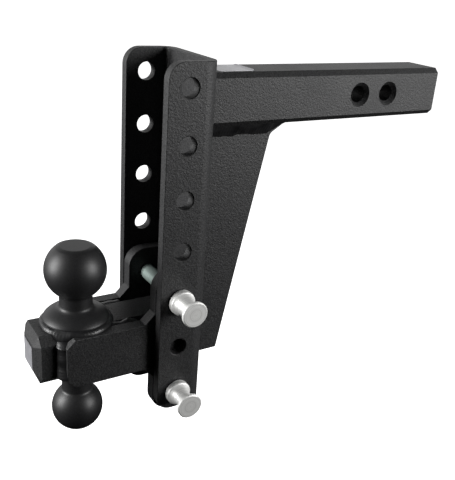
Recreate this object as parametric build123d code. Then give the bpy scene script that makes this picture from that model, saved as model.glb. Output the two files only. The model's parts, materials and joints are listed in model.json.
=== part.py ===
from build123d import *
import math
import os

# Adjustable two-ball trailer hitch: a solid shank welded to the web of a bent channel, and a
# ball mount that two pins hold in the channel.
# Frame: origin at the centre of the hitch-pin hole in the shank, +X towards the vehicle,
# +Y towards the vehicle's left side, +Z up. Millimetres.

INCH = 25.4
EDGE_ROUND = 0.8

# ---------------------------------------------------------------- shank
SHANK_SIZE = 2 * INCH
SHANK_HALF = SHANK_SIZE / 2
SHANK_LENGTH = 294.0
SHANK_CHAMFER = 5.0
HITCH_HOLE_D = 11 / 16 * INCH
HITCH_HOLE_FROM_END = 72.0
SECOND_HOLE_FROM_END = 111.0
COUNTERSINK_D = 1 * INCH

SHANK_END = HITCH_HOLE_FROM_END
WEB_X = SHANK_END - SHANK_LENGTH
SECOND_HOLE_X = SHANK_END - SECOND_HOLE_FROM_END

# ---------------------------------------------------------------- channel
PLATE_3_8 = 3 / 8 * INCH
CHANNEL_WIDTH = 98.4
CHANNEL_DEPTH = 51.8
CHANNEL_TOP = 39.6
CHANNEL_BOTTOM = -307.3
CHANNEL_BEND_R = 14.7
CHANNEL_CORNER_R = 16.0
CHANNEL_HALF = CHANNEL_WIDTH / 2
CHANNEL_INNER_HALF = CHANNEL_HALF - PLATE_3_8
FRONT_X = WEB_X - CHANNEL_DEPTH
HOLE_D = 11 / 16 * INCH
HOLE_X = WEB_X - 30.7
HOLE_PITCH = 2 * INCH
HOLE_COUNT = 7
TOP_HOLE_Z = 17.4
HOLE_RIM_CHAMFER = 0.8

# ---------------------------------------------------------------- gusset
GUSSET_THICKNESS = 1 * INCH
GUSSET_HALF = GUSSET_THICKNESS / 2
GUSSET_BOTTOM = -273.3
GUSSET_BOTTOM_REACH = 35.8
GUSSET_TOP_REACH = 82.5
GUSSET_TOE_REACH = 102.0
GUSSET_TOE_DROP = 12.3
GUSSET_THROAT_R = 8.0

# ---------------------------------------------------------------- ball mount
MOUNT_WIDTH = 3 * INCH
MOUNT_HALF = MOUNT_WIDTH / 2
SIDE_PLATE = 0.5 * INCH
BLOCK_HALF = 1 * INCH
UPPER_PIN_HOLE = 4
LOWER_PIN_HOLE = 6
MOUNT_Z = TOP_HOLE_Z - HOLE_PITCH * (UPPER_PIN_HOLE + LOWER_PIN_HOLE) / 2
PLATE_HALF_HEIGHT = 77.0
PLATE_FRONT = WEB_X - 51.5
PLATE_BACK = WEB_X - 11.0
PLATE_CORNER_R = 18.0
ARM_FRONT = WEB_X - 139.5
ARM_HALF_HEIGHT = 1 * INCH
ARM_BEVEL = 10.0
ARM_CORNER = 8.0
BLOCK_FRONT = WEB_X - 164.1
BLOCK_EDGE = 8.0
NOSE_DEPTH = 4.6
NOSE_INSET = 11.4
NOSE_CORNER = 0.6
BLOCK_TOP = MOUNT_Z + BLOCK_HALF
BLOCK_BOTTOM = MOUNT_Z - BLOCK_HALF

# ---------------------------------------------------------------- balls
BALL_X = WEB_X - 117.3
UPPER_BALL_D = (2 + 5 / 16) * INCH
LOWER_BALL_D = 2 * INCH
UPPER_BALL_Z = -157.8
LOWER_BALL_Z = -309.0
UPPER_FLAT_R = 16.2
LOWER_FLAT_R = 12.0
UPPER_FLAT_ROUND = 8.0
LOWER_FLAT_ROUND = 5.0
UPPER_NECK_R = 15.875
LOWER_NECK_R = 15.0
FLANGE_R = 31.75
# Places down the flange's profile: distance out from the neck, height above the block.
FLARE_START = (0.0, 18.0)
FLARE_CORNER = (0.0, 14.6)
FLARE_END = (4.75, 13.0)
DOME_CORNER = (12.0, 10.5)
RIM_TOP = (15.875, 5.0)
STEM_R = 12.7
STEM_DEPTH = 22.0
STEM_CLEARANCE = 0.2

# ---------------------------------------------------------------- pins and clips
PIN_R = 5 / 16 * INCH
PIN_COLLAR_R = 12.7
PIN_WAIST_R = 8.0
PIN_HEAD_R = 12.8
PIN_COLLAR_GAP = 0.3
PIN_COLLAR_LENGTH = 7.5
PIN_WAIST_LENGTH = 20.0
PIN_FLARE = 5.0
PIN_HEAD_LENGTH = 3.5
PIN_EDGE = 1.0
PIN_COLLAR_ROUND = 2.0
PIN_POINT = 2.0
PIN_TIP_Y = 72.0
CLIP_Y = 61.3
CLIP_WIRE_R = 1.9
CLIP_HOLE_R = 2.2
CLIP_LEG_BELOW = 20.0
CLIP_TOP = 31.0
CLIP_EYE_WIDTH = 13.5
CLIP_EYE_R = 5.6
CLIP_EYE_TURN_R = 4.4
CLIP_PINCH = (4.2, 14.0)
CLIP_GAP = 0.6
CLIP_BEND_R = 4.0

# ---------------------------------------------------------------- welds and labels
SHANK_WELD = 8.0
SHANK_WELD_CHAMFER = 9.8
GUSSET_WELD = 6.0
GUSSET_TOP_WELD = 12.0
FRONT_WELD = (7.0, 11.0)
GROOVE_FILL = 6.0
BALL_WELD = 3.5
LOWER_BALL_WELD = 4.0
LABEL_THICKNESS = 0.3
BLOCK_LABEL = (24.5, 25.0)
BLOCK_LABEL_SHIFT = (1.5, -1.3)
SHANK_LABEL = (38.0, 35.0)
SHANK_LABEL_X = WEB_X + 35.0


def cross_hole(x, z, radius, length):
    """Round cutter along Y, centred on y = 0."""
    return Pos(x, 0, z) * Rot(90, 0, 0) * Cylinder(radius, length)


def rim_cone(x, y, z, mouth_radius, depth, side):
    """45 degree cutter whose wide end lies at y and which narrows inwards; side is the sign of y."""
    cone = Cone(mouth_radius - depth, mouth_radius, depth)
    return Pos(x, y - side * depth / 2, z) * Rot(-90 * side, 0, 0) * cone


def prism_xz(face_points, thickness, centre_y=0.0):
    """Solid whose outline is drawn in the X-Z plane and which is thick along Y."""
    outline = Plane.XZ * make_face(Polyline(*face_points, close=True))
    solid = extrude(outline, amount=thickness / 2, both=True)
    return Pos(0, centre_y, 0) * solid


def bar_section(half, chamfer_leg):
    """Square bar section with flattened corners, centred in the Y-Z plane."""
    square = Rectangle(2 * half, 2 * half)
    return Plane.YZ * chamfer(square.vertices(), chamfer_leg)


def bar(x_from, x_to, half, chamfer_leg, z=0.0):
    """Solid bar along X with flattened long edges."""
    return Pos(x_from, 0, z) * extrude(bar_section(half, chamfer_leg), amount=x_to - x_from)


def flat_edges(body, axis, place):
    """Edges that lie flat in the plane at that place along an axis."""
    level = {Axis.X: lambda p: p.X, Axis.Y: lambda p: p.Y, Axis.Z: lambda p: p.Z}[axis]
    return [edge for edge in body.edges()
            if all(abs(level(edge @ t) - place) < 0.01 for t in (0, 0.5, 1))]


def round_outlines(body, axis, places):
    """Rounds slightly every edge that lies in one of the planes given by their places along an axis."""
    edges = [edge for place in places for edge in flat_edges(body, axis, place)]
    return fillet(edges, EDGE_ROUND)


def hole_z(index):
    """Height of a channel hole, counted from the top one, which is 0."""
    return TOP_HOLE_Z - index * HOLE_PITCH


def make_shank():
    body = round_outlines(bar(WEB_X, SHANK_END, SHANK_HALF, SHANK_CHAMFER), Axis.X, [SHANK_END])
    depth = (COUNTERSINK_D - HITCH_HOLE_D) / 2
    for x in (0.0, SECOND_HOLE_X):
        body -= cross_hole(x, 0, HITCH_HOLE_D / 2, 2 * SHANK_SIZE)
        for side in (-1, 1):
            body -= rim_cone(x, side * SHANK_HALF, 0, COUNTERSINK_D / 2, depth, side)
    return body


def make_channel():
    outer = Rectangle(CHANNEL_DEPTH, CHANNEL_WIDTH)
    outer = Pos(FRONT_X + CHANNEL_DEPTH / 2, 0) * outer
    outer = fillet(outer.vertices().sort_by(Axis.X)[-2:], CHANNEL_BEND_R)
    inner = Rectangle(CHANNEL_DEPTH, 2 * CHANNEL_INNER_HALF)
    inner = Pos(FRONT_X + CHANNEL_DEPTH / 2 - PLATE_3_8, 0) * inner
    inner = fillet(inner.vertices().sort_by(Axis.X)[-2:], CHANNEL_BEND_R - PLATE_3_8)
    height = CHANNEL_TOP - CHANNEL_BOTTOM
    body = Pos(0, 0, CHANNEL_BOTTOM) * extrude(outer - inner, amount=height)
    corners = body.edges().filter_by(Axis.Y).group_by(Axis.X)[0]
    body = fillet(corners, CHANNEL_CORNER_R)
    body = round_outlines(body, Axis.Y, [-CHANNEL_HALF, -CHANNEL_INNER_HALF,
                                         CHANNEL_INNER_HALF, CHANNEL_HALF])
    for index in range(HOLE_COUNT):
        z = hole_z(index)
        body -= cross_hole(HOLE_X, z, HOLE_D / 2, 2 * CHANNEL_WIDTH)
        for side in (-1, 1):
            mouth = HOLE_D / 2 + HOLE_RIM_CHAMFER
            body -= rim_cone(HOLE_X, side * CHANNEL_HALF, z, mouth, HOLE_RIM_CHAMFER, side)
    return body


def gusset_prism(thickness):
    """The gusset's outline, made thick along Y: tapered downwards, with a sloped toe under the shank."""
    top = -SHANK_HALF
    outline = [
        (WEB_X, top),
        (WEB_X + GUSSET_TOE_REACH, top),
        (WEB_X + GUSSET_TOP_REACH, top - GUSSET_TOE_DROP),
        (WEB_X + GUSSET_BOTTOM_REACH, GUSSET_BOTTOM),
        (WEB_X, GUSSET_BOTTOM),
    ]
    body = prism_xz(outline, thickness)
    throat = [edge for edge in body.edges().filter_by(Axis.Y)
              if abs(edge.center().X - WEB_X - GUSSET_TOP_REACH) < 0.1]
    return fillet(throat, GUSSET_THROAT_R)


def make_gusset():
    body = gusset_prism(GUSSET_THICKNESS)
    below_toe = -SHANK_HALF - GUSSET_TOE_DROP
    free = [edge for side in (-1, 1) for edge in flat_edges(body, Axis.Y, side * GUSSET_HALF)
            if edge.center().Z < below_toe and edge.center().X > WEB_X + 1]
    return fillet(free, EDGE_ROUND)


def side_plate_outline():
    """Upright plate with a forward arm, drawn in X-Z about the mount's middle height."""
    top = PLATE_HALF_HEIGHT
    arm = ARM_HALF_HEIGHT
    upper_half = [
        (PLATE_BACK, top),
        (PLATE_FRONT, top),
        (PLATE_FRONT, arm + ARM_BEVEL),
        (PLATE_FRONT - ARM_BEVEL, arm),
        (ARM_FRONT + ARM_CORNER, arm),
        (ARM_FRONT, arm - ARM_CORNER),
    ]
    lower_half = [(x, -z) for x, z in reversed(upper_half)]
    return [(x, MOUNT_Z + z) for x, z in upper_half + lower_half]


def make_side_plate(side):
    centre_y = side * (MOUNT_HALF - SIDE_PLATE / 2)
    body = prism_xz(side_plate_outline(), SIDE_PLATE, centre_y)
    corners = [edge for edge in body.edges().filter_by(Axis.Y)
               if abs(edge.center().X - PLATE_FRONT) < 0.1
               and abs(edge.center().Z - MOUNT_Z) > PLATE_HALF_HEIGHT - 1]
    body = fillet(corners, PLATE_CORNER_R)
    faces_y = [centre_y - SIDE_PLATE / 2, centre_y + SIDE_PLATE / 2]
    body = round_outlines(body, Axis.Y, faces_y)
    for index in (UPPER_PIN_HOLE, LOWER_PIN_HOLE):
        body -= cross_hole(HOLE_X, hole_z(index), HOLE_D / 2, 2 * CHANNEL_WIDTH)
    return body


def make_block():
    """Bar that carries the balls; its nose slopes in on all four sides to a square face."""
    nose_x = BLOCK_FRONT + NOSE_DEPTH
    body = bar(nose_x, PLATE_BACK, BLOCK_HALF, BLOCK_EDGE, MOUNT_Z)
    face = Pos(BLOCK_FRONT, 0, MOUNT_Z) * bar_section(BLOCK_HALF - NOSE_INSET, NOSE_CORNER)
    foot = Pos(nose_x, 0, MOUNT_Z) * bar_section(BLOCK_HALF, BLOCK_EDGE)
    body += loft([face, foot], ruled=True)
    bore = Cylinder(STEM_R + STEM_CLEARANCE, 4 * BLOCK_HALF)
    return body - Pos(BALL_X, 0, MOUNT_Z) * bore


def revolve_profile(outline):
    """Turned solid about Z from edges drawn in the X-Z plane."""
    return revolve(Plane.XZ * make_face(outline), Axis.Z)


def ball_head(diameter, flat_r, flat_round, neck_r):
    """Sphere with a round-edged flat on top, centred at the origin, and the height of its neck's top."""
    radius = diameter / 2
    flat_z = math.sqrt(radius ** 2 - flat_r ** 2)
    cut = Pos(0, 0, flat_z + radius) * Box(3 * radius, 3 * radius, 2 * radius)
    head = Sphere(radius) - cut
    neck_z = -math.sqrt(radius ** 2 - neck_r ** 2)
    return fillet(flat_edges(head, Axis.Z, flat_z), flat_round), neck_z


def make_upper_ball():
    """Large ball, pointing up, on a domed flange that sits on the block, with a stem below."""
    head, neck_z = ball_head(UPPER_BALL_D, UPPER_FLAT_R, UPPER_FLAT_ROUND, UPPER_NECK_R)
    base = BLOCK_TOP - UPPER_BALL_Z
    flare_start, flare_corner, flare_end, dome_corner, rim_top = [
        (UPPER_NECK_R + out, base + height)
        for out, height in (FLARE_START, FLARE_CORNER, FLARE_END, DOME_CORNER, RIM_TOP)]
    stem_end = base - STEM_DEPTH
    outline = [
        Line((0, neck_z), (UPPER_NECK_R, neck_z)),
        Line((UPPER_NECK_R, neck_z), flare_start),
        Bezier(flare_start, flare_corner, flare_end),
        Bezier(flare_end, dome_corner, rim_top),
        Line(rim_top, (FLANGE_R, base)),
        Line((FLANGE_R, base), (STEM_R, base)),
        Line((STEM_R, base), (STEM_R, stem_end)),
        Line((STEM_R, stem_end), (0, stem_end)),
        Line((0, stem_end), (0, neck_z)),
    ]
    body = head + revolve_profile(outline)
    return Pos(BALL_X, 0, UPPER_BALL_Z) * body


def make_lower_ball():
    """Small ball, pointing down, on a plain neck that runs up into the block."""
    head, neck_z = ball_head(LOWER_BALL_D, LOWER_FLAT_R, LOWER_FLAT_ROUND, LOWER_NECK_R)
    base = LOWER_BALL_Z - BLOCK_BOTTOM
    neck = Pos(0, 0, (base + neck_z) / 2) * Cylinder(LOWER_NECK_R, neck_z - base)
    stem = Pos(0, 0, base - STEM_DEPTH / 2) * Cylinder(STEM_R, STEM_DEPTH)
    body = Rot(180, 0, 0) * (head + neck + stem)
    return Pos(BALL_X, 0, LOWER_BALL_Z) * body


def ring_fillet(inner_r, leg, z, up):
    """Triangular fillet ring round a round part; up is 1 on a top face and -1 below."""
    points = [(inner_r, z), (inner_r + leg, z), (inner_r, z + up * leg)]
    return Pos(BALL_X, 0, 0) * revolve(Plane.XZ * make_face(Polyline(*points, close=True)), Axis.Z)


def make_shank_weld(gusset):
    """Fillet all round the shank where it meets the channel's web, interrupted by the gusset."""
    half = SHANK_HALF
    wide = Pos(WEB_X, 0, 0) * bar_section(half + SHANK_WELD, SHANK_WELD_CHAMFER)
    narrow = Pos(WEB_X + SHANK_WELD, 0, 0) * bar_section(half, SHANK_CHAMFER)
    body = loft([wide, narrow]) - bar(WEB_X, SHANK_END, half, SHANK_CHAMFER)
    below = Pos(WEB_X, 0, -2 * half) * Box(4 * half, 4 * half, 2 * half)
    return body - below - gusset


def vertical_fillet(x, y, x_leg, y_leg, z_from, z_to):
    """Triangular prism along Z with its right angle at (x, y); the legs carry their signs."""
    triangle = make_face(Polyline((x, y), (x + x_leg, y), (x, y + y_leg), close=True))
    return Pos(0, 0, z_from) * extrude(triangle, amount=z_to - z_from)


def make_gusset_web_welds():
    return [vertical_fillet(WEB_X, side * GUSSET_HALF, GUSSET_WELD, side * GUSSET_WELD,
                            GUSSET_BOTTOM, -SHANK_HALF - GUSSET_TOP_WELD)
            for side in (-1, 1)]


def make_gusset_top_welds(shank_weld):
    """Fillets between the gusset's sides and the shank's underside, cut off along the gusset's toe."""
    top = -SHANK_HALF
    outer = SHANK_HALF - SHANK_CHAMFER
    within = gusset_prism(2 * outer)
    welds = []
    for side in (-1, 1):
        corner = [(side * GUSSET_HALF, top), (side * outer, top),
                  (side * GUSSET_HALF, top - GUSSET_TOP_WELD)]
        section = Plane.YZ * make_face(Polyline(*corner, close=True))
        body = Pos(WEB_X, 0, 0) * extrude(section, amount=GUSSET_TOE_REACH)
        body = (body & within) - shank_weld
        welds.append(body.solids().sort_by(SortBy.VOLUME)[-1])
    return welds


def make_front_welds():
    """Upright fillets between the front end of each arm and the side of the block."""
    reach = ARM_HALF_HEIGHT - ARM_CORNER
    return [vertical_fillet(ARM_FRONT, side * BLOCK_HALF, -FRONT_WELD[0], side * FRONT_WELD[1],
                            MOUNT_Z - reach, MOUNT_Z + reach)
            for side in (-1, 1)]


def make_groove_welds(up):
    """Fill the groove between each side plate and the flattened edge of the block."""
    x_from = ARM_FRONT + ARM_CORNER
    x_to = PLATE_FRONT - ARM_BEVEL
    edge_z = MOUNT_Z + up * (BLOCK_HALF - BLOCK_EDGE)
    welds = []
    for side in (-1, 1):
        y = side * BLOCK_HALF
        top = edge_z + up * GROOVE_FILL
        corner = [(y, edge_z), (y, top), (y - side * GROOVE_FILL, top)]
        section = Plane.YZ * make_face(Polyline(*corner, close=True))
        welds.append(Pos(x_from, 0, 0) * extrude(section, amount=x_to - x_from))
    return welds


def make_pin(index):
    """Cross pin with a turned knob at the right side and a hole for the clip at the left."""
    collar_end = -CHANNEL_HALF - PIN_COLLAR_GAP
    waist_end = collar_end - PIN_COLLAR_LENGTH
    head_start = waist_end - PIN_WAIST_LENGTH
    head_end = head_start - PIN_HEAD_LENGTH
    head_edge = PIN_HEAD_R - PIN_EDGE
    collar_edge = PIN_COLLAR_R - PIN_EDGE
    waist = (PIN_WAIST_R, head_start + PIN_FLARE)
    shoulder = (collar_edge, waist_end)
    collar_start = (PIN_COLLAR_R, waist_end + PIN_COLLAR_ROUND)
    points = [
        Line((0, head_end), (head_edge, head_end)),
        Line((head_edge, head_end), (PIN_HEAD_R, head_end + PIN_EDGE)),
        Line((PIN_HEAD_R, head_end + PIN_EDGE), (PIN_HEAD_R, head_start)),
        Spline((PIN_HEAD_R, head_start), waist, tangents=((-1, 0.3), (0, 1))),
        Spline(waist, shoulder, tangents=((0, 1), (0.6, 0.8))),
        Bezier(shoulder, (PIN_COLLAR_R, waist_end + PIN_EDGE / 2), collar_start),
        Line(collar_start, (PIN_COLLAR_R, collar_end - PIN_EDGE)),
        Line((PIN_COLLAR_R, collar_end - PIN_EDGE), (collar_edge, collar_end)),
        Line((collar_edge, collar_end), (PIN_R, collar_end)),
        Line((PIN_R, collar_end), (PIN_R, PIN_TIP_Y - PIN_POINT)),
        Line((PIN_R, PIN_TIP_Y - PIN_POINT), (PIN_R - PIN_POINT, PIN_TIP_Y)),
        Line((PIN_R - PIN_POINT, PIN_TIP_Y), (0, PIN_TIP_Y)),
        Line((0, PIN_TIP_Y), (0, head_end)),
    ]
    body = revolve(make_face(points), Axis.Y)
    body -= Pos(0, CLIP_Y, 0) * Cylinder(CLIP_HOLE_R, 4 * PIN_R)
    return Pos(HOLE_X, 0, hole_z(index)) * body


def make_clip(index):
    """Wire clip: a straight leg through the pin, an eye above, and a leg that passes beside the pin."""
    clasp = PIN_R + CLIP_GAP + CLIP_WIRE_R
    corners = [
        (0, -CLIP_LEG_BELOW),
        (0, CLIP_TOP),
        (CLIP_EYE_WIDTH, CLIP_TOP),
        CLIP_PINCH,
        (clasp, 4),
        (clasp, -6),
        (clasp + 4, -14),
    ]
    radii = [CLIP_EYE_R, CLIP_EYE_TURN_R, CLIP_BEND_R, CLIP_BEND_R, CLIP_BEND_R]
    path = Plane.XZ * FilletPolyline(*corners, radius=radii)
    section = Plane(origin=path @ 0, z_dir=path % 0) * Circle(CLIP_WIRE_R)
    body = sweep(section, path)
    return Pos(HOLE_X, CLIP_Y, hole_z(index)) * body


def make_block_label():
    plate = Box(LABEL_THICKNESS, *BLOCK_LABEL)
    aside, above = BLOCK_LABEL_SHIFT
    return Pos(BLOCK_FRONT - LABEL_THICKNESS / 2, aside, MOUNT_Z + above) * plate


def make_shank_label():
    plate = Box(*SHANK_LABEL, LABEL_THICKNESS)
    return Pos(SHANK_LABEL_X, 0, SHANK_HALF + LABEL_THICKNESS / 2) * plate


def build():
    """Every node of the hitch, by name."""
    gusset = make_gusset()
    shank_weld = make_shank_weld(gusset)
    return {
        "shank": make_shank(),
        "channel": make_channel(),
        "gusset": gusset,
        "left_mount_plate": make_side_plate(1),
        "right_mount_plate": make_side_plate(-1),
        "ball_block": make_block(),
        "upper_ball": make_upper_ball(),
        "lower_ball": make_lower_ball(),
        "shank_weld": shank_weld,
        "gusset_web_welds": make_gusset_web_welds(),
        "gusset_top_welds": make_gusset_top_welds(shank_weld),
        "front_welds": make_front_welds(),
        "top_groove_welds": make_groove_welds(1),
        "bottom_groove_welds": make_groove_welds(-1),
        "upper_ball_weld": ring_fillet(FLANGE_R, BALL_WELD, BLOCK_TOP, 1),
        "lower_ball_weld": ring_fillet(LOWER_NECK_R, LOWER_BALL_WELD, BLOCK_BOTTOM, -1),
        "upper_pin": make_pin(UPPER_PIN_HOLE),
        "lower_pin": make_pin(LOWER_PIN_HOLE),
        "upper_clip": make_clip(UPPER_PIN_HOLE),
        "lower_clip": make_clip(LOWER_PIN_HOLE),
        "block_label": make_block_label(),
        "shank_label": make_shank_label(),
    }


def write(nodes):
    os.makedirs("parts", exist_ok=True)
    for name, shape in nodes.items():
        solid = Compound(children=shape) if isinstance(shape, list) else shape
        export_step(solid, os.path.join("parts", name + ".step"))


write(build())
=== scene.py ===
import json
import math

import bmesh
import bpy
from mathutils import Matrix, Vector, noise


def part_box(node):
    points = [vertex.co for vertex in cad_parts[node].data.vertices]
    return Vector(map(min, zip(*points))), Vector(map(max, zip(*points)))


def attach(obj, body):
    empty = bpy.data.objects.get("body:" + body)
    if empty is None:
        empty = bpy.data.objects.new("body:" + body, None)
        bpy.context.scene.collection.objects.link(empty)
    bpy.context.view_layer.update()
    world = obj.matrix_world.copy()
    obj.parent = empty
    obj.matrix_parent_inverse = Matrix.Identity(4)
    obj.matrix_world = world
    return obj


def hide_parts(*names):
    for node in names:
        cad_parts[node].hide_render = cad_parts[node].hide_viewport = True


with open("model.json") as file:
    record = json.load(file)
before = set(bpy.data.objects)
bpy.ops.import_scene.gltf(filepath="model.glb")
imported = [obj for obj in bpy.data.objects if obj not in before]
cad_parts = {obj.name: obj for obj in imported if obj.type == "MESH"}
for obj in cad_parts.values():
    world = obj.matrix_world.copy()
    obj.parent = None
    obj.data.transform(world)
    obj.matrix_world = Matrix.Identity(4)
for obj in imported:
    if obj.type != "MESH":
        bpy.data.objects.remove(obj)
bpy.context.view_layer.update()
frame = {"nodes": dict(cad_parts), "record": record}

# Looks of an adjustable two-ball trailer hitch: powder-coated plates, weld beads, turned balls
# and pins, wire clips, labels, and a plain studio. Scene in metres, in the frame of the packed
# model; shapes are worked out in millimetres and scaled when their mesh is made.

MM = 0.001
NODES = frame["nodes"]
UP = Vector((0, 0, 1))
FORWARD = Vector((-1, 0, 0))
BACK = Vector((1, 0, 0))


def node_box(name):
    """Lowest and highest corner of a CAD node, in millimetres."""
    low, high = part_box(name)
    return Vector(low) / MM, Vector(high) / MM


# ---------------------------------------------------------------- camera
CAMERA_PLACE = Vector((-0.5359, -0.5652, 0.1211))
CAMERA_AIM = Vector((-0.17264, 0.0, -0.1534))
CAMERA_ROLL = math.radians(4.35)
CAMERA_LENS = 51.49

# ---------------------------------------------------------------- places from the CAD model
SHANK_LOW, SHANK_HIGH = node_box("shank")
GUSSET_LOW, GUSSET_HIGH = node_box("gusset")
TOP_WELD_LOW, TOP_WELD_HIGH = node_box("gusset_top_welds")
ARM_LOW, ARM_HIGH = node_box("right_mount_plate")
BLOCK_LOW, BLOCK_HIGH = node_box("ball_block")
GROOVE_LOW, GROOVE_HIGH = node_box("top_groove_welds")
UPPER_LOW, UPPER_HIGH = node_box("upper_ball")
LOWER_LOW, LOWER_HIGH = node_box("lower_ball")

WEB_X = SHANK_LOW.x
SHANK_HALF = SHANK_HIGH.z
SHANK_CHAMFER = 5.0
BLOCK_HALF = BLOCK_HIGH.y
BLOCK_FLAT = 8.0
DECK_Z = BLOCK_HIGH.z
UNDER_Z = BLOCK_LOW.z
MOUNT_Z = (DECK_Z + UNDER_Z) / 2
ARM_FRONT = ARM_LOW.x
ARM_CORNER = 8.0
BALL_X = (UPPER_LOW.x + UPPER_HIGH.x) / 2
FLANGE_R = (UPPER_HIGH.x - UPPER_LOW.x) / 2
PIN_MIDDLES = [(low + high) / 2 for low, high in (node_box("upper_pin"), node_box("lower_pin"))]


# ---------------------------------------------------------------- node trees
def new_material(name):
    """An empty node material and its Principled shader."""
    material = bpy.data.materials.new(name)
    material.use_nodes = True
    tree = material.node_tree
    shader = tree.nodes["Principled BSDF"]
    return material, tree, shader


def add_node(tree, kind, inputs=None, **settings):
    """A node of that kind, with settings on the node and plain values on its inputs."""
    node = tree.nodes.new(kind)
    for key, value in settings.items():
        setattr(node, key, value)
    for key, value in (inputs or {}).items():
        node.inputs[key].default_value = value
    return node


def object_coordinates(tree):
    return add_node(tree, "ShaderNodeTexCoord").outputs["Object"]


def noise_texture(tree, scale, detail=3.0, roughness=0.5):
    """Noise in object space; scale is in features per metre."""
    texture = add_node(tree, "ShaderNodeTexNoise", {"Scale": scale, "Detail": detail, "Roughness": roughness})
    tree.links.new(object_coordinates(tree), texture.inputs["Vector"])
    return texture.outputs["Fac"]


def ramp(tree, source, stops):
    """Colour ramp from (position, grey or colour) pairs."""
    node = add_node(tree, "ShaderNodeValToRGB")
    tree.links.new(source, node.inputs["Fac"])
    elements = node.color_ramp.elements
    while len(elements) < len(stops):
        elements.new(0.5)
    for element, (position, value) in zip(elements, stops):
        colour = value if isinstance(value, tuple) else (value, value, value)
        element.position = position
        element.color = (*colour, 1.0)
    return node.outputs["Color"]


def spread(tree, source, low, high):
    """Source from 0 to 1, mapped to low to high."""
    node = add_node(tree, "ShaderNodeMapRange", {"To Min": low, "To Max": high})
    tree.links.new(source, node.inputs["Value"])
    return node.outputs["Result"]


def bump_chain(tree, shader, layers):
    """Stacks bump layers of (height source, distance in metres, strength)."""
    normal = None
    for source, distance, strength in layers:
        bump = add_node(tree, "ShaderNodeBump", {"Distance": distance, "Strength": strength})
        tree.links.new(source, bump.inputs["Height"])
        if normal is not None:
            tree.links.new(normal, bump.inputs["Normal"])
        normal = bump.outputs["Normal"]
    tree.links.new(normal, shader.inputs["Normal"])


def multiply(tree, first, second):
    """Product of two colours."""
    node = add_node(tree, "ShaderNodeMix", {"Factor": 1.0}, data_type="RGBA", blend_type="MULTIPLY")
    tree.links.new(first, node.inputs["A"])
    tree.links.new(second, node.inputs["B"])
    return node.outputs["Result"]


# ---------------------------------------------------------------- materials
# Painted shade on the pins between the channel's flanges. Nearer the middle plane than the first distance
# (mm), their colour starts to dim and turn greenish, and it is fully so within the second.
PIN_PAINTED_SHADE_FROM = 50.0
PIN_PAINTED_SHADE_FULL = 44.0


def make_powder_coat():
    """Black textured powder coat: fine pebbled film with slight patches of gloss."""
    material, tree, shader = new_material("powder_coat_black")
    grain = noise_texture(tree, 900.0, 2.0, 0.6)
    pebble = noise_texture(tree, 520.0, 2.0, 0.5)
    patches = noise_texture(tree, 22.0, 3.0, 0.5)
    tree.links.new(ramp(tree, grain, [(0.35, (0.003, 0.003, 0.0035)), (0.65, (0.032, 0.032, 0.033))]),
                   shader.inputs["Base Color"])
    tree.links.new(spread(tree, patches, 0.46, 0.6), shader.inputs["Roughness"])
    bump_chain(tree, shader, [(pebble, 0.0006, 0.6), (grain, 0.0004, 0.5)])
    shader.inputs["Specular IOR Level"].default_value = 0.5
    return material


def make_ball_finish():
    """Satin black over a turned ball."""
    material, tree, shader = new_material("ball_black")
    grain = noise_texture(tree, 900.0, 2.0, 0.5)
    patches = noise_texture(tree, 30.0, 3.0, 0.5)
    tree.links.new(ramp(tree, grain, [(0.3, (0.008, 0.008, 0.0085)), (0.7, (0.018, 0.018, 0.019))]),
                   shader.inputs["Base Color"])
    tree.links.new(spread(tree, patches, 0.42, 0.5), shader.inputs["Roughness"])
    bump_chain(tree, shader, [(grain, 0.0002, 0.15)])
    return material


def make_weld_coat():
    """Powder coat over a weld bead, where it lies thinner and shinier."""
    material, tree, shader = new_material("weld_black")
    grain = noise_texture(tree, 700.0, 3.0, 0.6)
    patches = noise_texture(tree, 90.0, 3.0, 0.5)
    tree.links.new(ramp(tree, patches, [(0.3, (0.007, 0.007, 0.0075)), (0.7, (0.02, 0.02, 0.021))]),
                   shader.inputs["Base Color"])
    tree.links.new(spread(tree, patches, 0.3, 0.46), shader.inputs["Roughness"])
    bump_chain(tree, shader, [(grain, 0.0004, 0.3)])
    return material


def from_pin_axis(tree, middle):
    """Distance out from a pin's axis, and distance along it from the hitch's middle plane."""
    centred = add_node(tree, "ShaderNodeVectorMath", operation="SUBTRACT")
    tree.links.new(object_coordinates(tree), centred.inputs[0])
    centred.inputs[1].default_value = (middle.x * MM, 0.0, middle.z * MM)
    split = add_node(tree, "ShaderNodeSeparateXYZ")
    tree.links.new(centred.outputs["Vector"], split.inputs["Vector"])
    across = add_node(tree, "ShaderNodeCombineXYZ")
    for axis in ("X", "Z"):
        tree.links.new(split.outputs[axis], across.inputs[axis])
    radius = add_node(tree, "ShaderNodeVectorMath", operation="LENGTH")
    tree.links.new(across.outputs["Vector"], radius.inputs[0])
    return radius.outputs["Value"], split.outputs["Y"]


def turning_marks(tree, radius, along):
    """Noise that changes along and out from the axis only, so that it runs in rings."""
    rings = add_node(tree, "ShaderNodeCombineXYZ")
    tree.links.new(radius, rings.inputs["X"])
    tree.links.new(along, rings.inputs["Y"])
    marks = add_node(tree, "ShaderNodeTexNoise", {"Scale": 900.0, "Detail": 2.0, "Roughness": 0.6})
    tree.links.new(rings.outputs["Vector"], marks.inputs["Vector"])
    return marks.outputs["Fac"]


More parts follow.
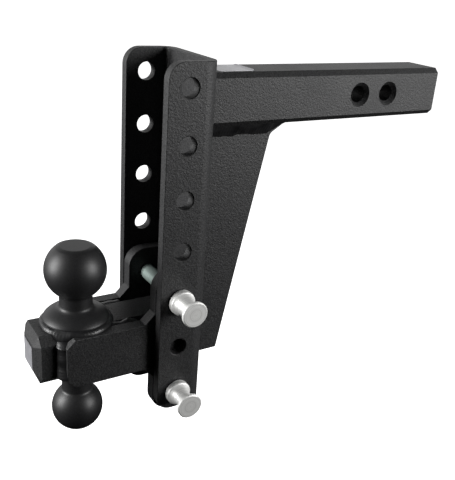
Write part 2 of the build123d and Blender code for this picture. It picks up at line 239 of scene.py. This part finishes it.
def make_stainless(name, middle):
    """Turned stainless steel with rings round the pin's axis, with painted shade between the flanges, where
    its colour turns dim and greenish.
    """
    material, tree, shader = new_material(name)
    radius, along = from_pin_axis(tree, middle)
    marks = turning_marks(tree, radius, along)
    grain = noise_texture(tree, 500.0, 3.0, 0.6)
    aside = add_node(tree, "ShaderNodeMath", operation="ABSOLUTE")
    tree.links.new(along, aside.inputs[0])
    inward = add_node(tree, "ShaderNodeMapRange",
                      {"From Min": PIN_PAINTED_SHADE_FROM * MM, "From Max": PIN_PAINTED_SHADE_FULL * MM})
    tree.links.new(aside.outputs["Value"], inward.inputs["Value"])
    bright = ramp(tree, marks, [(0.35, (0.76, 0.76, 0.74)), (0.65, (1.0, 1.0, 0.98))])
    # Painted shade: a dim greenish colour along the part of the pin that lies between the flanges.
    painted_shade = ramp(tree, inward.outputs["Result"], [(0.0, 1.0), (1.0, (0.36, 0.44, 0.42))])
    tree.links.new(multiply(tree, bright, painted_shade), shader.inputs["Base Color"])
    tree.links.new(spread(tree, grain, 0.4, 0.62), shader.inputs["Roughness"])
    bump_chain(tree, shader, [(marks, 0.0003, 0.4), (grain, 0.0002, 0.25)])
    shader.inputs["Metallic"].default_value = 0.5
    return material


def make_spring_wire():
    """Zinc-plated wire."""
    material, tree, shader = new_material("spring_wire")
    grain = noise_texture(tree, 600.0, 3.0, 0.6)
    shader.inputs["Metallic"].default_value = 1.0
    tree.links.new(ramp(tree, grain, [(0.3, (0.5, 0.5, 0.5)), (0.7, (0.62, 0.62, 0.62))]),
                   shader.inputs["Base Color"])
    tree.links.new(spread(tree, grain, 0.28, 0.4), shader.inputs["Roughness"])
    return material


def make_label_film(name, painted_shade):
    """Blank label stock, its colour scaled by the given factor. Below 1, this is painted shade for a label
    that lies in shade.
    """
    material, tree, shader = new_material(name)
    patches = noise_texture(tree, 120.0, 3.0, 0.5)
    tones = [(place, tuple(painted_shade * value for value in (grey, grey, grey * 1.06)))
             for place, grey in ((0.3, 0.62), (0.7, 0.74))]
    tree.links.new(ramp(tree, patches, tones), shader.inputs["Base Color"])
    tree.links.new(spread(tree, patches, 0.3, 0.42), shader.inputs["Roughness"])
    return material


# By slot, and by name for the nodes and pieces that have a look of their own.
MATERIALS = {
    "powder_coat": make_powder_coat(),
    "ball_finish": make_ball_finish(),
    "coated_weld": make_weld_coat(),
    "upper_pin": make_stainless("stainless_upper_pin", PIN_MIDDLES[0]),
    "lower_pin": make_stainless("stainless_lower_pin", PIN_MIDDLES[1]),
    "spring_wire": make_spring_wire(),
    "label_film": make_label_film("label_film", 1.0),
    # The block's label gets a darker copy of the film, at 0.42. This is painted shade for its nose face,
    # which turns away from the light.
    "painted_shade_label": make_label_film("label_film_painted_shade", 0.42),
}


def dress_cad_nodes():
    """Gives every node of the CAD model its own material if it has one, or else its slot's."""
    slot_of = {part["node"]: part["material_slot"] for part in frame["record"]["subparts"]}
    for name, node in NODES.items():
        look = name if name in MATERIALS else slot_of[name]
        node.material_slots[0].material = MATERIALS[look]


# ---------------------------------------------------------------- mesh building
SHARP_ANGLE = math.radians(40)


def add_piece(name, bm, slot, replaced, body="hitch", look=None):
    """Turns a bmesh in millimetres into a piece that rides on a body and stands for a CAD node.

    Its material is its slot's, unless look names another one."""
    bmesh.ops.recalc_face_normals(bm, faces=bm.faces)
    bmesh.ops.scale(bm, vec=(MM, MM, MM), verts=bm.verts)
    mesh = bpy.data.meshes.new(name)
    bm.to_mesh(mesh)
    bm.free()
    mesh.shade_smooth()
    mesh.set_sharp_from_angle(angle=SHARP_ANGLE)
    mesh.materials.append(MATERIALS[look or slot])
    piece = bpy.data.objects.new(name, mesh)
    bpy.context.scene.collection.objects.link(piece)
    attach(piece, body)
    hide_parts(replaced)


def join_rings(bm, first, second):
    """Faces between two rings of vertices, either of which may be a single point."""
    count = max(len(first), len(second))
    for i in range(count):
        corners = [first[i % len(first)], first[(i + 1) % len(first)],
                   second[(i + 1) % len(second)], second[i % len(second)]]
        bm.faces.new(list(dict.fromkeys(corners)))


# ---------------------------------------------------------------- turned balls
LATHE_SEGMENTS = 192
BALL_STEPS = 72
UPPER_BALL_R = 29.37
UPPER_CENTRE_Z = -157.8
UPPER_NECK_R = 15.875
UPPER_FLAT_R = 16.2
UPPER_FLAT_ROUND = 2.4
LOWER_BALL_R = 25.4
LOWER_CENTRE_Z = -309.0
LOWER_NECK_R = 15.0
LOWER_FLAT_R = 12.0
LOWER_FLAT_ROUND = 1.6
STEM_R = 12.7
NECK_ROUND = 2.0
RIM_SUPPORT = 0.4
# Places down the flange's profile: distance out from the neck, height above the block.
FLARE_START = (0.0, 18.0)
FLARE_CORNER = (0.0, 14.6)
FLARE_END = (4.75, 13.0)
DOME_CORNER = (12.0, 10.5)
RIM_HEIGHT = 5.0
RIM_ROUND = 0.8


def bend(start, corner, end, steps=12):
    """Smooth bend in a profile: leaves start towards the corner and arrives at end from the corner."""
    points = []
    for i in range(steps + 1):
        t = i / steps
        weights = ((1 - t) ** 2, 2 * t * (1 - t), t * t)
        points.append(tuple(sum(w * p[k] for w, p in zip(weights, (start, corner, end))) for k in (0, 1)))
    return points


def ball_profile(radius, flat_r, flat_round, neck_r):
    """(Radius, height) down a ball with a flat on top, from its axis to the foot of its neck's fillet."""
    flat_z = math.sqrt(radius ** 2 - flat_r ** 2)
    neck_z = -math.sqrt(radius ** 2 - neck_r ** 2)
    first = math.asin(flat_r / radius) + flat_round / radius
    last = math.pi - math.asin(neck_r / radius) - NECK_ROUND / radius
    angles = [first + (last - first) * i / BALL_STEPS for i in range(BALL_STEPS + 1)]
    sphere = [(radius * math.sin(a), radius * math.cos(a)) for a in angles]
    rim = flat_r - flat_round
    edge = [(rim - RIM_SUPPORT, flat_z)]
    edge += bend((rim, flat_z), (rim + flat_round / 2, flat_z), sphere[0], 8)
    neck = bend(sphere[-1], (neck_r, neck_z), (neck_r, neck_z - NECK_ROUND), 6)
    return [(0.0, flat_z)] + edge + sphere[1:-1] + neck


def lathe(profile, centre_z, up):
    """Turned body on the balls' axis; heights count from centre_z, and up is -1 if it points down."""
    bm = bmesh.new()
    rings = []
    for radius, height in profile:
        turns = LATHE_SEGMENTS if radius > 0 else 1
        angles = [2 * math.pi * i / turns for i in range(turns)]
        rings.append([bm.verts.new((BALL_X + radius * math.cos(a), radius * math.sin(a),
                                    centre_z + up * height)) for a in angles])
    for first, second in zip(rings, rings[1:]):
        join_rings(bm, first, second)
    return bm


def make_upper_ball():
    """Large ball on a domed flange that sits on the block, with its stem below."""
    base = DECK_Z - UPPER_CENTRE_Z
    stem_end = UPPER_LOW.z - UPPER_CENTRE_Z
    flare_start, flare_corner, flare_end, dome_corner = [
        (UPPER_NECK_R + out, base + height)
        for out, height in (FLARE_START, FLARE_CORNER, FLARE_END, DOME_CORNER)]
    rim_corner = (FLANGE_R, base + RIM_HEIGHT)
    rim_start = (FLANGE_R - RIM_ROUND * 0.5, base + RIM_HEIGHT + RIM_ROUND)
    profile = ball_profile(UPPER_BALL_R, UPPER_FLAT_R, UPPER_FLAT_ROUND, UPPER_NECK_R)
    profile += bend(flare_start, flare_corner, flare_end)
    profile += bend(flare_end, dome_corner, rim_start, 24)[1:]
    profile += bend(rim_start, rim_corner, (FLANGE_R, rim_corner[1] - RIM_ROUND), 4)[1:]
    profile += [(FLANGE_R, base), (STEM_R, base), (STEM_R, stem_end), (0.0, stem_end)]
    add_piece("upper_ball_turned", lathe(profile, UPPER_CENTRE_Z, 1), "ball_finish", "upper_ball")


def make_lower_ball():
    """Small ball that points down, on a plain neck, with its stem in the block."""
    base = LOWER_CENTRE_Z - UNDER_Z
    stem_end = LOWER_CENTRE_Z - LOWER_HIGH.z
    profile = ball_profile(LOWER_BALL_R, LOWER_FLAT_R, LOWER_FLAT_ROUND, LOWER_NECK_R)
    profile += [(LOWER_NECK_R, base), (STEM_R, base), (STEM_R, stem_end), (0.0, stem_end)]
    add_piece("lower_ball_turned", lathe(profile, LOWER_CENTRE_Z, -1), "ball_finish", "lower_ball")


# ---------------------------------------------------------------- weld beads
BEAD_STEP = 0.6
BEAD_PITCH = 3.2
BEAD_LAG = 0.55
BEAD_TIP = 3.0
BEAD_CROWN = 14.0
FACE_STEPS = 10
ROOT_SINK = 0.8
TOE_SINK = 0.2
WOBBLE_SCALE = 0.11
WOBBLE_SIZE = 0.15


def run(start, end, side_a, side_b, end_a=None, end_b=None):
    """Stations of a straight bead: its root, and its legs along the two parts that it joins."""
    count = max(2, round((end - start).length / BEAD_STEP))
    steps = [i / count for i in range(count + 1)]
    return [(start.lerp(end, t), side_a.lerp(end_a or side_a, t), side_b.lerp(end_b or side_b, t))
            for t in steps]


def distances(stations):
    """Distance travelled along the middle of a bead at every station."""
    middles = [root + 0.4 * (side_a + side_b) for root, side_a, side_b in stations]
    travelled = [0.0]
    for before, after in zip(middles, middles[1:]):
        travelled.append(travelled[-1] + (after - before).length)
    return travelled


def end_size(distance, length, swell):
    """Size of a bead against its plain run: round at its tips and swollen behind them."""
    near = min(distance, length - distance)
    tip = 1 - min(near / BEAD_TIP, 1.0)
    crown = swell * max(0.0, 1 - near / BEAD_CROWN)
    return math.sqrt(max(1 - tip * tip, 0.05)) * (1 + crown)


def wobble(place, seed):
    """Slow unevenness of a bead laid by hand, around 1."""
    return 1 + WOBBLE_SIZE * noise.noise(place * WOBBLE_SCALE + Vector((seed, 0, 0)))


def bead_section(station, size, phase, ripple, bulge):
    """Ring of points round a bead: its face from toe to toe, and its root sunk in the corner."""
    root, side_a, side_b = station
    leg_a = side_a * size * wobble(root, 3.1)
    leg_b = side_b * size * wobble(root, 8.7)
    unit_a = side_a.normalized()
    unit_b = side_b.normalized()
    outward = (unit_a * leg_b.length + unit_b * leg_a.length).normalized()
    width = (leg_a - leg_b).length
    points = [root + leg_a - unit_b * TOE_SINK]
    for i in range(1, FACE_STEPS):
        t = i / FACE_STEPS
        arch = 4 * t * (1 - t)
        wave = abs(math.cos(math.pi * (phase + BEAD_LAG * arch))) - 0.6
        rise = width * bulge * arch + ripple * wave * math.sqrt(arch)
        points.append(root + leg_a * (1 - t) + leg_b * t + outward * rise)
    points.append(root + leg_b - unit_a * TOE_SINK)
    points.append(root - (unit_a + unit_b) * ROOT_SINK)
    return points


def sweep_bead(bm, stations, closed=False, ripple=0.35, bulge=0.1, swell=0.0):
    """Adds a rippled weld bead along the stations, as one closed skin."""
    travelled = distances(stations)
    length = travelled[-1]
    pitch = length / round(length / BEAD_PITCH)
    rings = []
    for station, distance in zip(stations, travelled):
        size = 1.0 if closed else end_size(distance, length, swell)
        section = bead_section(station, size, distance / pitch, ripple, bulge)
        rings.append([bm.verts.new(point) for point in section])
    if closed:
        bmesh.ops.delete(bm, geom=rings[-1], context="VERTS")
        rings[-1] = rings[0]
    for first, second in zip(rings, rings[1:]):
        join_rings(bm, first, second)
    if not closed:
        bm.faces.new(rings[0])
        bm.faces.new(rings[-1])


def make_weld(node, runs, **shape):
    """One piece with all the beads that stand for a CAD weld node."""
    bm = bmesh.new()
    for stations in runs:
        sweep_bead(bm, stations, **shape)
    add_piece(node + "_bead", bm, "coated_weld", node)


# ---------------------------------------------------------------- welds of the shank and gusset
SHANK_WELD_LEG = 7.6
PATH_ROUND = 3.0
PATH_TURN_STEPS = 12
GUSSET_WELD_LEG = 6.0
GUSSET_THROAT_REACH = 78.0
TOE_LEG = 0.8


def shank_corners():
    """Places and outward directions at the shank's eight corners, which are rounded, as y + z j."""
    inner = SHANK_HALF - PATH_ROUND
    short = SHANK_HALF - SHANK_CHAMFER - PATH_ROUND * math.tan(math.radians(22.5))
    path = []
    for quarter in range(4):
        for corner, first in ((complex(-short, -inner), -90), (complex(-inner, -short), -135)):
            for step in range(PATH_TURN_STEPS + 1):
                angle = math.radians(first - 45 * step / PATH_TURN_STEPS)
                outward = complex(math.cos(angle), math.sin(angle))
                turned = [value * (-1j) ** quarter for value in (corner + PATH_ROUND * outward, outward)]
                path.append([Vector((0, value.real, value.imag)) for value in turned])
    return path


def make_shank_weld():
    """Bead round the shank where it meets the web, from one side of the gusset round to the other."""
    ends = [[Vector((0, side * GUSSET_HIGH.y, -SHANK_HALF)), -UP] for side in (-1, 1)]
    path = [ends[0]] + shank_corners() + [ends[1]]
    web = Vector((WEB_X, 0, 0))
    along = BACK * SHANK_WELD_LEG
    stations = []
    for (place, outward), (next_place, next_outward) in zip(path, path[1:]):
        if (next_place - place).length > 1e-3:
            stations += run(web + place, web + next_place, outward * SHANK_WELD_LEG, along,
                            next_outward * SHANK_WELD_LEG)[:-1]
    make_weld("shank_weld", [stations], swell=0.3)


def make_gusset_welds():
    """Beads along both sides of the gusset: up the web, and under the shank out to the gusset's toe."""
    half = GUSSET_HIGH.y
    top = -SHANK_HALF
    depth = top - TOP_WELD_LOW.z
    web_runs = []
    top_runs = []
    for side in (-1, 1):
        outward = Vector((0, side, 0))
        foot = Vector((WEB_X, side * half, GUSSET_LOW.z + 1))
        head = Vector((WEB_X, side * half, top - depth / 2))
        web_runs.append(run(foot, head, BACK * GUSSET_WELD_LEG, outward * GUSSET_WELD_LEG))
        start, throat, toe = [Vector((x, side * half, top)) for x in
                              (WEB_X + SHANK_WELD_LEG / 2, WEB_X + GUSSET_THROAT_REACH, TOP_WELD_HIGH.x - 1)]
        leg = outward * (TOP_WELD_HIGH.y - half)
        top_runs.append(run(start, throat, leg, -UP * depth)
                        + run(throat, toe, leg, -UP * depth, leg * 0.5, -UP * TOE_LEG)[1:])
    make_weld("gusset_web_welds", web_runs)
    make_weld("gusset_top_welds", top_runs, ripple=0.12, bulge=0.05)


# ---------------------------------------------------------------- welds of the ball mount
FRONT_WELD_TOP = 16.0
FRONT_WELD_FOOT = 19.0
FRONT_LEGS = (6.5, 10.5)
HEAD_TURN = (4.0, 2.0, 6.0)
HEAD_LEGS = (6.0, 5.0)
GROOVE_DIP = 1.0
GROOVE_FILL = 7.0
GROOVE_REACH = 10.5
RING_LEG = 3.6
RING_RISE = 4.2
RING_SMOOTHING = 5
LOWER_RING_LEG = 4.0


def make_front_welds():
    """Upright beads between the arms' front ends and the block, which turn in over its flattened edge."""
    back, turn_in, rise = HEAD_TURN
    runs = []
    for side in (-1, 1):
        outward = Vector((0, side, 0))
        leg_a = FORWARD * FRONT_LEGS[0]
        leg_b = outward * FRONT_LEGS[1]
        foot = Vector((ARM_FRONT, side * BLOCK_HALF, MOUNT_Z - FRONT_WELD_FOOT))
        knee = Vector((ARM_FRONT, side * BLOCK_HALF, MOUNT_Z + FRONT_WELD_TOP))
        head = knee + Vector((back, -side * turn_in, rise))
        head_a = FORWARD * HEAD_LEGS[0] - outward * turn_in
        head_b = outward * HEAD_LEGS[1]
        runs.append(run(foot, knee, leg_a, leg_b) + run(knee, head, leg_a, leg_b, head_a, head_b)[1:])
    make_weld("front_welds", runs, ripple=0.16, swell=0.2, bulge=0.14)


def make_groove_welds(node, up):
    """Beads in the grooves between the arms and the block's flattened edges; up is -1 for those below."""
    runs = []
    for side in (-1, 1):
        inward = Vector((0, -side, up)).normalized()
        start, end = [Vector((x, side * BLOCK_HALF, MOUNT_Z + up * (BLOCK_HALF - BLOCK_FLAT)))
                      for x in (GROOVE_LOW.x, GROOVE_HIGH.x)]
        runs.append(run(start, end, UP * up * GROOVE_FILL, inward * GROOVE_REACH))
    make_weld(node, runs, ripple=0.2, bulge=0.12)


def support_drop(place):
    """Depth below the deck of the mount's surface at a place: its flattened edges and cut corners."""
    ahead = max(0.0, ARM_FRONT + ARM_CORNER - place.x)
    beside = max(0.0, abs(place.y) - BLOCK_HALF + BLOCK_FLAT)
    if abs(place.y) < BLOCK_HALF:
        return min(beside, GROOVE_DIP + ahead)
    return min(ahead, ARM_CORNER)


def smoothed(values, reach):
    """Each value of a loop averaged with its neighbours on both sides."""
    count = len(values)
    window = range(-reach, reach + 1)
    return [sum(values[(i + k) % count] for k in window) / len(window) for i in range(count)]


def ring_directions(radius):
    """Directions round the balls' axis, one bead step apart at that radius."""
    count = round(2 * math.pi * radius / BEAD_STEP)
    angles = [2 * math.pi * i / count for i in range(count)]
    return [Vector((math.cos(a), math.sin(a), 0)) for a in angles]


def make_upper_ball_weld():
    """Bead round the flange's rim, whose lower toe follows the deck, edges and corners below it."""
    centre = Vector((BALL_X, 0, DECK_Z))
    directions = ring_directions(FLANGE_R)
    root_drops, toe_drops = [smoothed([support_drop(centre + d * radius) for d in directions], RING_SMOOTHING)
                             for radius in (FLANGE_R, FLANGE_R + RING_LEG)]
    stations = []
    for direction, root_drop, toe_drop in zip(directions, root_drops, toe_drops):
        root = centre + direction * FLANGE_R - UP * root_drop
        leg = direction * RING_LEG - UP * (toe_drop - root_drop)
        stations.append((root, leg, UP * (RING_RISE + root_drop)))
    make_weld("upper_ball_weld", [stations + stations[:1]], closed=True, ripple=0.1, bulge=0.16)


def make_lower_ball_weld():
    """Bead round the small ball's neck, under the block."""
    centre = Vector((BALL_X, 0, UNDER_Z))
    stations = [(centre + direction * LOWER_NECK_R, direction * LOWER_RING_LEG, -UP * LOWER_RING_LEG)
                for direction in ring_directions(LOWER_NECK_R)]
    make_weld("lower_ball_weld", [stations + stations[:1]], closed=True, ripple=0.25)


# ---------------------------------------------------------------- labels
LABEL_STEPS = 44
LABEL_CORNER = 0.12
LABEL_THICKNESS = 0.25
LABEL_SINK = 0.05
WRINKLE_SCALE = 0.16
WRINKLE_SIZE = 0.15
LIFT_START = 0.75
LIFT_SIZE = 1.1


def round_corners(u, v):
    """Moves a point of the square from -1 to 1 so that the square gets round corners."""
    over = [max(abs(value) - 1 + LABEL_CORNER, 0.0) for value in (u, v)]
    if min(over) == 0.0:
        return u, v
    shrink = max(over) / math.hypot(*over)
    return [math.copysign(1 - LABEL_CORNER + extra * shrink, value) for extra, value in zip(over, (u, v))]


def film(centre, half_u, half_v, normal, lift):
    """Thin label: a wrinkled skin over a flat one, joined round the edge; lift(u, v) raises both."""
    bm = bmesh.new()
    skins = []
    for height, wrinkle in ((LABEL_THICKNESS, WRINKLE_SIZE), (-LABEL_SINK, 0.0)):
        grid = []
        for i in range(LABEL_STEPS + 1):
            row = []
            for j in range(LABEL_STEPS + 1):
                u, v = round_corners(2 * i / LABEL_STEPS - 1, 2 * j / LABEL_STEPS - 1)
                place = centre + half_u * u + half_v * v
                rise = height + lift(u, v) + wrinkle * noise.noise(place * WRINKLE_SCALE)
                row.append(bm.verts.new(place + normal * rise))
            grid.append(row)
        skins.append(grid)
    for grid in skins:
        for row, next_row in zip(grid, grid[1:]):
            for j in range(LABEL_STEPS):
                bm.faces.new((row[j], row[j + 1], next_row[j + 1], next_row[j]))
    join_rings(bm, grid_border(skins[0]), grid_border(skins[1]))
    return bm


def grid_border(grid):
    """Vertices round the outside of a square grid, in order."""
    right = [row[-1] for row in grid]
    left = [row[0] for row in grid]
    return grid[0][:-1] + right[:-1] + grid[-1][:0:-1] + left[:0:-1]


def lying(u, v):
    """Lift of a label that lies flat all over."""
    return 0.0


def edge_lifting(u, v):
    """Lift of a label whose far edge in u has come away a little."""
    return LIFT_SIZE * max(0.0, (u - LIFT_START) / (1 - LIFT_START)) ** 2


def make_labels():
    """Blank labels on the block's nose and on top of the shank, the second with one edge lifting."""
    low, high = node_box("block_label")
    half = (high - low) / 2
    face = Vector((high.x, (low.y + high.y) / 2, (low.z + high.z) / 2))
    bm = film(face, Vector((0, half.y, 0)), UP * half.z, FORWARD, lying)
    # The block's label takes the darker film, which carries painted shade.
    add_piece("block_label_film", bm, "label_film", "block_label", look="painted_shade_label")
    low, high = node_box("shank_label")
    half = (high - low) / 2
    face = Vector(((low.x + high.x) / 2, 0, SHANK_HALF))
    bm = film(face, BACK * half.x, Vector((0, half.y, 0)), UP, edge_lifting)
    add_piece("shank_label_film", bm, "label_film", "shank_label")


# ---------------------------------------------------------------- studio
FLOOR_Z = -0.45
FLOOR_HALF = 30.0
TO_CAMERA = Vector((CAMERA_PLACE.x - CAMERA_AIM.x, CAMERA_PLACE.y - CAMERA_AIM.y, 0.0)).normalized()
TO_RIGHT = Vector((-TO_CAMERA.y, TO_CAMERA.x, 0.0))
SUBJECT = Vector((-0.2, 0.0, -0.12))
# World brightness by height of view, from straight down at 0 to straight up at 1.
WORLD_BY_HEIGHT = [(0.28, 0.0), (0.42, 0.3), (0.5, 1.0), (0.7, 1.0), (0.85, 0.12), (1.0, 0.05)]
# And by direction, from away from the camera at 0 to towards it at 1.
WORLD_BY_SIDE = [(0.0, 1.0), (0.4, 0.8), (0.6, 0.3), (0.8, 0.02), (1.0, 0.0)]
# Softboxes: place to the right, towards the camera and up from the subject; size; power.
SOFTBOXES = {
    "right_softbox": ((1.5, 0.42, 0.36), (0.7, 0.8), 22.5),
    "left_softbox": ((-1.4, 0.45, 0.3), (0.6, 0.9), 31.0),
}


def add_camera():
    """Camera at the photographed angle."""
    data = bpy.data.cameras.new("camera")
    data.lens = CAMERA_LENS
    camera = bpy.data.objects.new("camera", data)
    bpy.context.scene.collection.objects.link(camera)
    aim = (CAMERA_AIM - CAMERA_PLACE).to_track_quat("-Z", "Y").to_matrix().to_4x4()
    camera.matrix_world = Matrix.Translation(CAMERA_PLACE) @ aim @ Matrix.Rotation(CAMERA_ROLL, 4, "Z")
    bpy.context.scene.camera = camera


def add_floor():
    """Pale floor some way below, as under a hitch that hangs in its receiver."""
    mesh = bpy.data.meshes.new("floor")
    signs = [(-1, -1), (1, -1), (1, 1), (-1, 1)]
    mesh.from_pydata([(x * FLOOR_HALF, y * FLOOR_HALF, FLOOR_Z) for x, y in signs], [], [(0, 1, 2, 3)])
    floor = bpy.data.objects.new("floor", mesh)
    bpy.context.scene.collection.objects.link(floor)
    floor.visible_glossy = False
    floor.visible_diffuse = False
    material, tree, shader = new_material("floor_white")
    shader.inputs["Base Color"].default_value = (0.9, 0.9, 0.9, 1.0)
    shader.inputs["Roughness"].default_value = 0.9
    shader.inputs["Emission Color"].default_value = (1.0, 1.0, 1.0, 1.0)
    shader.inputs["Emission Strength"].default_value = 0.95
    mesh.materials.append(material)


def scaled_world(tree, source):
    """Source from -1 to 1, mapped to 0 to 1."""
    node = add_node(tree, "ShaderNodeMapRange", {"From Min": -1.0, "From Max": 1.0})
    tree.links.new(source, node.inputs["Value"])
    return node.outputs["Result"]


def add_world():
    """White to the camera; as light, bright at the back and sides, dark overhead and in front."""
    world = bpy.data.worlds.new("studio")
    bpy.context.scene.world = world
    world.use_nodes = True
    tree = world.node_tree
    direction = add_node(tree, "ShaderNodeTexCoord").outputs["Generated"]
    split = add_node(tree, "ShaderNodeSeparateXYZ")
    tree.links.new(direction, split.inputs["Vector"])
    towards = add_node(tree, "ShaderNodeVectorMath", operation="DOT_PRODUCT")
    tree.links.new(direction, towards.inputs[0])
    towards.inputs[1].default_value = TO_CAMERA
    by_height = ramp(tree, scaled_world(tree, split.outputs["Z"]), WORLD_BY_HEIGHT)
    by_side = ramp(tree, scaled_world(tree, towards.outputs["Value"]), WORLD_BY_SIDE)
    path = add_node(tree, "ShaderNodeLightPath")
    seen = add_node(tree, "ShaderNodeMix", data_type="RGBA")
    tree.links.new(path.outputs["Is Camera Ray"], seen.inputs["Factor"])
    tree.links.new(multiply(tree, by_height, by_side), seen.inputs["A"])
    seen.inputs["B"].default_value = (1.0, 1.0, 1.0, 1.0)
    background = tree.nodes["Background"]
    tree.links.new(seen.outputs["Result"], background.inputs["Color"])


def add_softboxes():
    """Rectangular soft lights aimed at the object."""
    for name, (place, size, power) in SOFTBOXES.items():
        right, ahead, up = place
        data = bpy.data.lights.new(name, "AREA")
        data.shape = "RECTANGLE"
        data.size, data.size_y = size
        data.energy = power
        light = bpy.data.objects.new(name, data)
        bpy.context.scene.collection.objects.link(light)
        offset = TO_RIGHT * right + TO_CAMERA * ahead + UP * up
        aim = (-offset).to_track_quat("-Z", "Y").to_matrix().to_4x4()
        light.matrix_world = Matrix.Translation(SUBJECT + offset) @ aim


def set_view():
    """Plain tones, with no film curve."""
    bpy.context.scene.view_settings.view_transform = "Standard"


dress_cad_nodes()
make_upper_ball()
make_lower_ball()
make_shank_weld()
make_gusset_welds()
make_front_welds()
make_groove_welds("top_groove_welds", 1)
make_groove_welds("bottom_groove_welds", -1)
make_upper_ball_weld()
make_lower_ball_weld()
make_labels()
add_camera()
add_floor()
add_world()
add_softboxes()
set_view()
